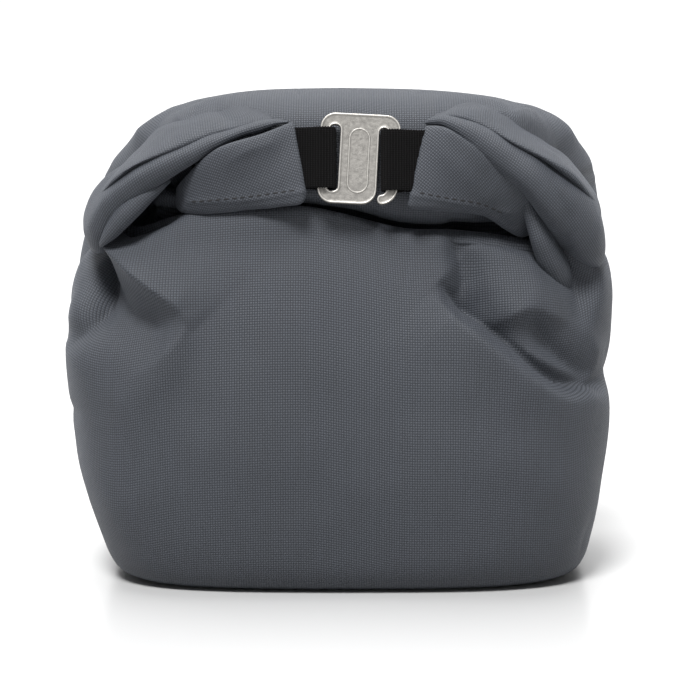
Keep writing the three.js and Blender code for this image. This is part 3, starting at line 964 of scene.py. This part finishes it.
def stitch_frame(tree, start, end):
    """The place and turn of one stitch on a surface, between two places seen from the front, or None."""
    hits = [tree.ray_cast(Vector((x, IN_FRONT, z)) * MM, Vector((0, 1, 0))) for x, z in (start, end)]
    if any(hit[0] is None for hit in hits):
        return None
    along = (hits[1][0] - hits[0][0]).normalized()
    outwards = hits[0][1] if hits[0][1].y < 0 else -hits[0][1]
    side = outwards.cross(along).normalized()
    turn = Matrix((along, side, along.cross(side))).transposed().to_4x4()
    size = Matrix.Diagonal((*(Vector(STITCH_SIZE) * MM), 1))
    return Matrix.Translation((hits[0][0] + hits[1][0]) / 2) @ turn @ size


class BAG_OT_stitching(bpy.types.Operator):
    """Sew a row of short stitches along the hem of each roll end"""

    bl_idname = "bag.stitching"
    bl_label = "Hem stitching"

    def execute(self, context):
        bm = bmesh.new()
        for name, line in HEM_LINES.items():
            cover = bpy.data.objects[name].data
            tree = BVHTree.FromPolygons(
                [vertex.co for vertex in cover.vertices], [face.vertices for face in cover.polygons]
            )
            path = through(line, np.linspace(0, len(line) - 1, 300))
            run = path_run(path)
            for spot in np.arange(STITCH_STEP / 2, run[-1], STITCH_STEP):
                ends = spot + STITCH_SIZE[0] / 2 * np.array([-1, 1])
                where = stitch_frame(tree, *at_run(path, run, ends))
                if where:
                    made = bmesh.ops.create_uvsphere(bm, u_segments=8, v_segments=6, radius=0.5)
                    bmesh.ops.transform(bm, matrix=where, verts=made["verts"])
        thread = plain_material("sewing_thread", (0.016, 0.016, 0.018), 0.8, 0.3, 4000.0)
        place_piece(finish_mesh(bm, "hem_stitches", thread, weld=0.001), "bag")
        return {"FINISHED"}


# ---- Closure: places here are counted from the buckle's middle, in its leaning plane ----


def closure_frame():
    """Turns a place in the closure's plane (across, depth, up) into the bag's frame, in mm."""
    return Matrix.Translation((BUCKLE_AT.x, LEFT_BAR.y, LEFT_BAR.z)) @ Matrix.Rotation(-LEAN, 4, "X")


BAR_ROOM = 1.95  # half the gap inside a loop where it goes round the buckle's bar
NOSE_REACH = 2.6  # how far a loop reaches past the middle of the bar
LOOP_ROW = 0.15  # step between a loop's rows of points
RIB_HEIGHT = 0.15
RIB_EDGE = 0.12  # how far the ribs stand out at the webbing's edges
SEWN_INSET = 1.3  # from the end of the right loop's box back to where the loop is sewn


def webbing_loop(name, pivot_x, bar_x, rise):
    """A sewn loop of ribbed webbing: out of the roll end, round the buckle's bar and back."""
    settings = bpy.context.scene.bag_webbing
    half = settings.thickness / MM / 2
    reach = abs(bar_x - pivot_x)
    way = 1 if bar_x > pivot_x else -1
    open_half = BAR_ROOM + half
    nose = reach + NOSE_REACH
    side = [
        (-1.5, 0.66), (2.6, 0.68), (0.45 * reach + 1, 1.45), (reach - 1.5, open_half),
        (nose, open_half - 0.25),
    ]
    line = [(x, -v) for x, v in side] + [(nose + 1.5, 0)] + [(x, v) for x, v in reversed(side)]
    fine = np.linspace(0, len(line) - 1, 500)
    path = through(line, fine)
    run = path_run(path)
    spots = np.linspace(0, run[-1], int(run[-1] / LOOP_ROW) + 1)
    path = at_run(path, run, spots)
    along = np.gradient(path, axis=0)
    along /= np.linalg.norm(along, axis=1, keepdims=True)
    across = np.stack([-along[:, 1], along[:, 0]], axis=1)
    first, second = superellipse(64, 9)
    rib_turn = 2 * math.pi * spots / (settings.rib / MM)
    ribs = RIB_HEIGHT * np.cos(rib_turn)
    width = settings.width / MM / 2
    edge = RIB_EDGE * np.cos(rib_turn + 0.6)
    thick = second[None] * (half + ribs[:, None] * np.abs(second[None]))
    x = pivot_x + way * (path[:, :1] + across[:, :1] * thick)
    depth = path[:, 1:] + across[:, 1:] * thick
    up = first[None] * (width + edge[:, None]) + rise
    place = closure_frame()
    points = np.stack([x - BUCKLE_AT.x, depth, up + 0 * x], axis=-1)
    turn = np.array(place.to_3x3())
    points = points @ turn.T + np.array(place.translation)
    points[0], points[-1] = points[0].mean(axis=0), points[-1].mean(axis=0)
    uvs = np.stack([up + 0 * x, spots[:, None] + 0 * x], axis=-1)
    bm = bmesh.new()
    add_grid(bm, points, uvs)
    return finish_mesh(bm, name, webbing_material())


WARP_PITCH = 0.00075  # metres between the webbing's lengthwise yarns


def webbing_material():
    """Black ribbed webbing: fine warp yarns across the ribs, on the strap's UV map."""
    known = bpy.data.materials.get("black_ribbed_webbing")
    if known:
        return known
    settings = bpy.context.scene.bag_webbing
    material, nodes, shader = start_material("black_ribbed_webbing")
    lie = nodes.add("ShaderNodeUVMap", uv_map="UVMap").outputs["UV"]
    place = nodes.add("ShaderNodeSeparateXYZ", {"Vector": lie})
    warp_turn = nodes.math("MULTIPLY", place.outputs["X"], math.pi / WARP_PITCH)
    warp = nodes.math("ABSOLUTE", nodes.math("SINE", warp_turn))
    rib_turn = nodes.math("MULTIPLY", place.outputs["Y"], 2 * math.pi / settings.rib)
    rib = nodes.math("MULTIPLY_ADD", nodes.math("COSINE", rib_turn), 0.5, 0.5)
    relief = nodes.math("MULTIPLY", nodes.math("POWER", warp, 0.5), nodes.math("MULTIPLY_ADD", rib, 0.6, 0.4))
    fuzz = nodes.noise(lie, 2400.0, 2.0)
    tone = nodes.math("MULTIPLY", relief, nodes.math("MULTIPLY_ADD", fuzz, 0.7, 0.55))
    lit = tuple(2.6 * channel for channel in settings.colour)
    dim = tuple(0.1 * channel for channel in settings.colour)
    nodes.tree.links.new(nodes.mix(tone, (*dim, 1), (*lit, 1)), shader.inputs["Base Color"])
    nodes.tree.links.new(nodes.math("MULTIPLY_ADD", fuzz, 0.2, 0.72), shader.inputs["Roughness"])
    shader.inputs["Specular IOR Level"].default_value = 0.08
    surface_bump(nodes, shader, relief, 0.00022, 1.0)
    return material


class BAG_OT_webbing(bpy.types.Operator):
    """Make the two webbing loops that join the roll ends to the buckle"""

    bl_idname = "bag.webbing"
    bl_label = "Webbing loops"

    def execute(self, context):
        left = webbing_loop("left_webbing", LEFT_PIVOT.x, LEFT_BAR.x, 0.4)
        place_piece(left, "left_loop", ("left_webbing_loop",))
        right_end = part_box("right_webbing_loop")[1].x / MM - SEWN_INSET
        right = webbing_loop("right_webbing", right_end, RIGHT_BAR.x, -0.6)
        place_piece(right, "right_loop", ("right_webbing_loop",))
        return {"FINISHED"}


def cast_metal():
    """Sand-cast metal: mottled grey and matte, with a painted highlight that makes its raised rim and ring
    lighter, and a little glossier there.
    """
    colour = bpy.context.scene.bag_metal.colour
    material, nodes, shader = start_material("sand_cast_metal")
    spot = nodes.add("ShaderNodeTexCoord").outputs["Object"]
    highlight_share = nodes.add("ShaderNodeAttribute", attribute_name="painted_highlight").outputs["Fac"]
    sand = nodes.noise(spot, 2600.0, 3.0)
    blotch = nodes.noise(spot, 700.0, 4.0)
    mottle = nodes.math("MULTIPLY_ADD", blotch, 0.6, nodes.math("MULTIPLY", sand, 0.4))
    shade = nodes.ramp(mottle, (0.36, 0.62), (0.62, 1.0))
    base = nodes.mix(1.0, (*colour, 1), shade, "MULTIPLY")
    # painted highlight: the raised rim and ring are painted a lighter grey
    bright = nodes.mix(nodes.math("MULTIPLY", highlight_share, 0.75), base, (0.52, 0.50, 0.47, 1))
    nodes.tree.links.new(bright, shader.inputs["Base Color"])
    rough = nodes.math("MULTIPLY_ADD", sand, 0.25, 0.42)
    nodes.tree.links.new(nodes.math("MULTIPLY_ADD", highlight_share, -0.18, rough), shader.inputs["Roughness"])
    shader.inputs["Metallic"].default_value = 0.82
    surface_bump(nodes, shader, mottle, 0.00022, 0.7)
    return material


def outline_loops(bm, facing):
    """The closed outlines of the faces that look along facing, the longest first, as lists of places."""
    flat = [face for face in bm.faces if face.normal.dot(facing) > 0.99]
    known = set(flat)
    after = {}
    for face in flat:
        for loop in face.loops:
            others = [other for other in loop.edge.link_faces if other is not face]
            if not others or others[0] not in known:
                after[loop.vert] = loop.link_loop_next.vert
    loops = []
    while after:
        start = next(iter(after))
        ring, here = [], start
        while here in after:
            ring.append(here.co.copy())
            here = after.pop(here)
        loops.append(ring)
    length = {id(ring): sum((p - q).length for p, q in zip(ring, ring[1:])) for ring in loops}
    return sorted(loops, key=lambda ring: -length[id(ring)])


def even_outline(ring, step):
    """A closed outline of points about a step apart, as rows of (across, up), from an outline in mm."""
    flat = np.array([(point.x, point.z) for point in ring])
    keep = np.linalg.norm(flat - np.roll(flat, 1, axis=0), axis=1) > 0.02
    flat = flat[keep]
    closed = np.vstack([flat, flat[:1]])
    run = path_run(closed)
    even = at_run(closed, run, np.linspace(0, run[-1], int(run[-1] / step) + 1)[:-1])
    for _ in range(3):
        even = 0.5 * even + 0.25 * (np.roll(even, 1, axis=0) + np.roll(even, -1, axis=0))
    return even


def inward(outline):
    """Unit directions into the metal along a closed outline that keeps the metal on its left."""
    along = np.roll(outline, -1, axis=0) - np.roll(outline, 1, axis=0)
    along /= np.linalg.norm(along, axis=1, keepdims=True)
    return np.stack([-along[:, 1], along[:, 0]], axis=1)


def edge_rings(bm, place, outline, profile):
    """Rings of vertices along an outline, one for each (inset, depth) of the profile, joined by faces."""
    into = inward(outline)
    rings = []
    for inset, depth in profile:
        spots = outline + into * inset
        rings.append([bm.verts.new(place @ Vector((x, depth, z)) * MM) for x, z in spots])
    for ring, after in zip(rings, rings[1:]):
        for i in range(len(ring)):
            j = (i + 1) % len(ring)
            bm.faces.new((ring[i], ring[j], after[j], after[i]))
    return rings


def close_face(bm, rings):
    """Fills the flat face between closed rings of vertices."""
    edges = []
    for ring in rings:
        for i, vertex in enumerate(ring):
            edges.append(bm.edges.get((vertex, ring[(i + 1) % len(ring)])))
    bmesh.ops.triangle_fill(bm, edges=edges, use_beauty=True, use_dissolve=False)


def raised_ring(bm, place, left, right, foot, head, radius, level):
    """A thin raised line round a stadium shape on the plate's face."""
    middle, half = (left + right) / 2, (right - left) / 2
    outline = []
    for start, height in ((0.0, head - half), (math.pi, foot + half)):
        for step in range(15):
            turn = start + math.pi * step / 14
            outline.append((middle + half * math.cos(turn), height + half * math.sin(turn)))
    outline = np.array(outline)
    section = [(math.cos(math.pi * k / 6), -math.sin(math.pi * k / 6)) for k in range(12)]
    profile = [(radius * across, level + 0.55 * radius * depth) for across, depth in section]
    edge_rings(bm, place, outline, [*profile, profile[0]])


SUNK = 0.30  # depth of the plate's face below its rim
OUTLINE_STEP = 0.32
RING = (-4.0, 3.6, -13.2, 11.8, 0.42)  # left, right, foot, head and half width of the raised ring
RING_TURN = 3  # degrees
HIGHLIGHT_START = 0.14  # height above the sunk face at which the painted highlight on the raised metal starts


class BAG_OT_buckle(bpy.types.Operator):
    """Make the cast buckle: a plate with a slot, an open hook, a raised rim and a raised ring"""

    bl_idname = "bag.buckle"
    bl_label = "Hook buckle"

    def execute(self, context):
        rim = context.scene.bag_metal.rim / MM
        place = closure_frame()
        facing = place.to_3x3() @ Vector((0, -1, 0))
        node = bmesh.new()
        node.from_mesh(bpy.data.objects["hook_buckle"].data)
        bmesh.ops.remove_doubles(node, verts=node.verts, dist=0.01 * MM)
        node.normal_update()
        back_again = place.inverted()
        loops = [[back_again @ (point / MM) for point in ring] for ring in outline_loops(node, facing)]
        node.free()
        half = abs(loops[0][0].y)
        low = half - SUNK
        profile = [
            (rim + 0.75, -low), (rim + 0.35, -low), (rim + 0.1, -low - 0.12), (rim - 0.1, 0.02 - half),
            (0.42, -half), (0.2, -half + 0.04), (0.06, -half + 0.2), (0, -half + 0.45),
            (0, half - 0.45), (0.06, half - 0.2), (0.2, half - 0.04), (0.5, half), (rim + 0.4, half),
        ]
        bm = bmesh.new()
        fronts, backs = [], []
        for ring in loops:
            rings = edge_rings(bm, place, even_outline(ring, OUTLINE_STEP), profile)
            fronts.append(rings[0])
            backs.append(rings[-1])
        close_face(bm, fronts)
        close_face(bm, backs)
        turn = Matrix.Rotation(math.radians(RING_TURN), 4, "Y")
        raised_ring(bm, place @ turn, *RING, -low)
        # painted highlight: how much of the lighter grey each vertex gets, from its height above the sunk
        # face
        layer = bm.verts.layers.float.new("painted_highlight")
        for vertex in bm.verts:
            depth = abs((back_again @ (vertex.co / MM)).y)
            vertex[layer] = min(max((depth - low - HIGHLIGHT_START) / HIGHLIGHT_START, 0.0), 1.0)
        piece = finish_mesh(bm, "buckle_casting", cast_metal(), weld=0.002)
        place_piece(piece, "buckle", ("hook_buckle",))
        return {"FINISHED"}


# ---- Inside: the foam walls and the lining, which follow the shell ----


WALL_TOP = 10.6  # the station at which the foam and the lining end
WALL_ROWS = 110  # rows from the base to the middle of the top, of which the walls keep the lower ones
BASE_CLOTH = 0.6


def inner_wall(name, inset, thickness, material):
    """An open-topped wall that follows the shell on its inner side, closed over its rim."""
    kept = round(WALL_ROWS * np.interp(WALL_TOP, *ROW_SPREAD) / ROW_SPREAD[1][-1]) + 1
    floor = inset + BASE_CLOTH
    bm = bmesh.new()
    skins = []
    for columns, start in ((70, math.pi), (50, 0)):
        points, uvs = shell_half(columns, start, WALL_ROWS)
        inwards = -grid_normals(points)[:kept]
        outer = points[:kept] + inwards * inset
        inner = points[:kept] + inwards * (inset + thickness)
        outer[..., 2] = np.maximum(outer[..., 2], floor)
        inner[..., 2] = np.maximum(inner[..., 2], floor + thickness)
        skins.append((np.concatenate([outer, inner[::-1]]), np.concatenate([uvs[:kept], uvs[:kept][::-1]])))
    join_halves(skins[0][0], skins[1][0])
    for skin, uvs in skins:
        add_grid(bm, skin, uvs)
    return finish_mesh(bm, name, material)


STAY_SIZE = (0.116, 0.0013, 0.0236)  # the webbing in the mouth, in metres


class BAG_OT_inside(bpy.types.Operator):
    """Make the foam walls, the lining and the webbing in the rolled mouth"""

    bl_idname = "bag.inside"
    bl_label = "Foam and lining"

    def execute(self, context):
        foam_look = plain_material("pale_foam", (0.72, 0.72, 0.69), 0.95, 0.2, 900.0)
        foam = inner_wall("foam_walls", 4.0, 3.0, foam_look)
        foams = [f"{side}_foam" for side in ("front", "back", "left", "right", "base")]
        place_piece(foam, "bag", foams)
        silver = plain_material("silver_lining", (0.62, 0.63, 0.65), 0.38, 0.12, 160.0, 0.6)
        lining = inner_wall("inner_lining", 7.6, 0.6, silver)
        place_piece(lining, "bag", ("lining",))
        low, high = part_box("mouth_webbing")
        bm = bmesh.new()
        bmesh.ops.create_cube(bm, size=1.0)
        bmesh.ops.scale(bm, vec=STAY_SIZE, verts=bm.verts)
        bmesh.ops.bevel(
            bm, geom=bm.edges, offset=0.0004, offset_type="OFFSET", segments=3, profile=0.5,
            affect="EDGES", material=-1,
        )
        bmesh.ops.rotate(bm, cent=(0, 0, 0), matrix=Matrix.Rotation(-LEAN, 3, "X"), verts=bm.verts)
        bmesh.ops.translate(bm, vec=(low + high) / 2, verts=bm.verts)
        stay_look = plain_material("stay_webbing", (0.012, 0.012, 0.013), 0.85, 0.3, 1500.0)
        stay = finish_mesh(bm, "mouth_stay", stay_look)
        place_piece(stay, "bag", ("mouth_webbing",))
        return {"FINISHED"}


# ---- Stage ----


def stage_material(name, grey, bounce, roughness):
    """The even finish of the floor, which throws back less light on the bag than its own grey would."""
    material, nodes, shader = start_material(name)
    spread = nodes.add("ShaderNodeLightPath").outputs["Is Diffuse Ray"]
    shade = nodes.math("MULTIPLY_ADD", spread, bounce - grey, grey)
    nodes.tree.links.new(shade, shader.inputs["Base Color"])
    shader.inputs["Roughness"].default_value = roughness
    return material


def soft_sun(name, way, angle, power):
    """A far light that shines along way, soft over the angle in degrees."""
    lamp = bpy.data.lights.new(name, "SUN")
    lamp.angle = math.radians(angle)
    lamp.energy = power
    holder = bpy.data.objects.new(name, lamp)
    bpy.context.scene.collection.objects.link(holder)
    holder.rotation_euler = Vector(way).to_track_quat("-Z", "Y").to_euler()


LOOK_AT = (4.3, 0, 87.6)
FLOOR_RADIUS = 6.0  # metres


class BAG_OT_stage(bpy.types.Operator):
    """Make the pale floor, the soft light and the camera"""

    bl_idname = "bag.stage"
    bl_label = "Stage"

    def execute(self, context):
        settings = context.scene.bag_stage
        bm = bmesh.new()
        bmesh.ops.create_circle(bm, cap_ends=True, segments=64, radius=FLOOR_RADIUS)
        mesh = bpy.data.meshes.new("floor")
        bm.to_mesh(mesh)
        bm.free()
        floor = bpy.data.objects.new("floor", mesh)
        context.scene.collection.objects.link(floor)
        mesh.materials.append(stage_material("pale_floor", 0.76, 0.30, 0.25))
        world = bpy.data.worlds.new("soft_white")
        world.use_nodes = True
        nodes = Nodes(world.node_tree)
        spread = nodes.add("ShaderNodeLightPath").outputs["Is Diffuse Ray"]
        background = world.node_tree.nodes["Background"]
        background.inputs["Color"].default_value = (1, 1, 1, 1)
        strength = nodes.math("MULTIPLY_ADD", spread, -0.95, 1.1)
        world.node_tree.links.new(strength, background.inputs["Strength"])
        context.scene.world = world
        soft_sun("key", (0.16, 0.60, -1.0), 16, 3.3)
        soft_sun("overhead", (0.05, -0.25, -1.0), 40, 2.3)
        camera_data = bpy.data.cameras.new("camera")
        camera = bpy.data.objects.new("camera", camera_data)
        context.scene.collection.objects.link(camera)
        camera_data.lens = settings.lens
        target = Vector(LOOK_AT) * MM
        up = settings.elevation
        camera.location = target + settings.distance * Vector((0, -math.cos(up), math.sin(up)))
        camera.rotation_euler = (target - camera.location).to_track_quat("-Z", "Y").to_euler()
        context.scene.camera = camera
        context.scene.view_settings.view_transform = "Standard"
        return {"FINISHED"}


# ---- Panel and registration ----

MAKERS = [
    BAG_OT_shell,
    BAG_OT_gathers,
    BAG_OT_roll_ends,
    BAG_OT_stitching,
    BAG_OT_webbing,
    BAG_OT_buckle,
    BAG_OT_inside,
    BAG_OT_stage,
]


class BAG_PT_panel(bpy.types.Panel):
    """The bag's sizes, colours and makers"""

    bl_idname = "BAG_PT_panel"
    bl_label = "Bag"
    bl_space_type = "VIEW_3D"
    bl_region_type = "UI"
    bl_category = "Bag"

    def draw(self, context):
        layout = self.layout
        for name, group in SETTINGS.items():
            box = layout.box()
            settings = getattr(context.scene, name)
            for key in group.__annotations__:
                box.prop(settings, key)
        for maker in MAKERS:
            layout.operator(maker.bl_idname)


CLASSES = [*SETTINGS.values(), *MAKERS, BAG_PT_panel]


def register():
    """Registers the classes and the scene's settings."""
    for item in CLASSES:
        bpy.utils.register_class(item)
    for name, group in SETTINGS.items():
        setattr(bpy.types.Scene, name, bpy.props.PointerProperty(type=group))


def unregister():
    """Takes the settings and classes away again."""
    for name in SETTINGS:
        delattr(bpy.types.Scene, name)
    for item in reversed(CLASSES):
        bpy.utils.unregister_class(item)


def main():
    """Makes the whole bag on its stage."""
    register()
    for maker in MAKERS:
        folder, call = maker.bl_idname.split(".")
        getattr(getattr(bpy.ops, folder), call)()


if __name__ == "__main__":
    main()
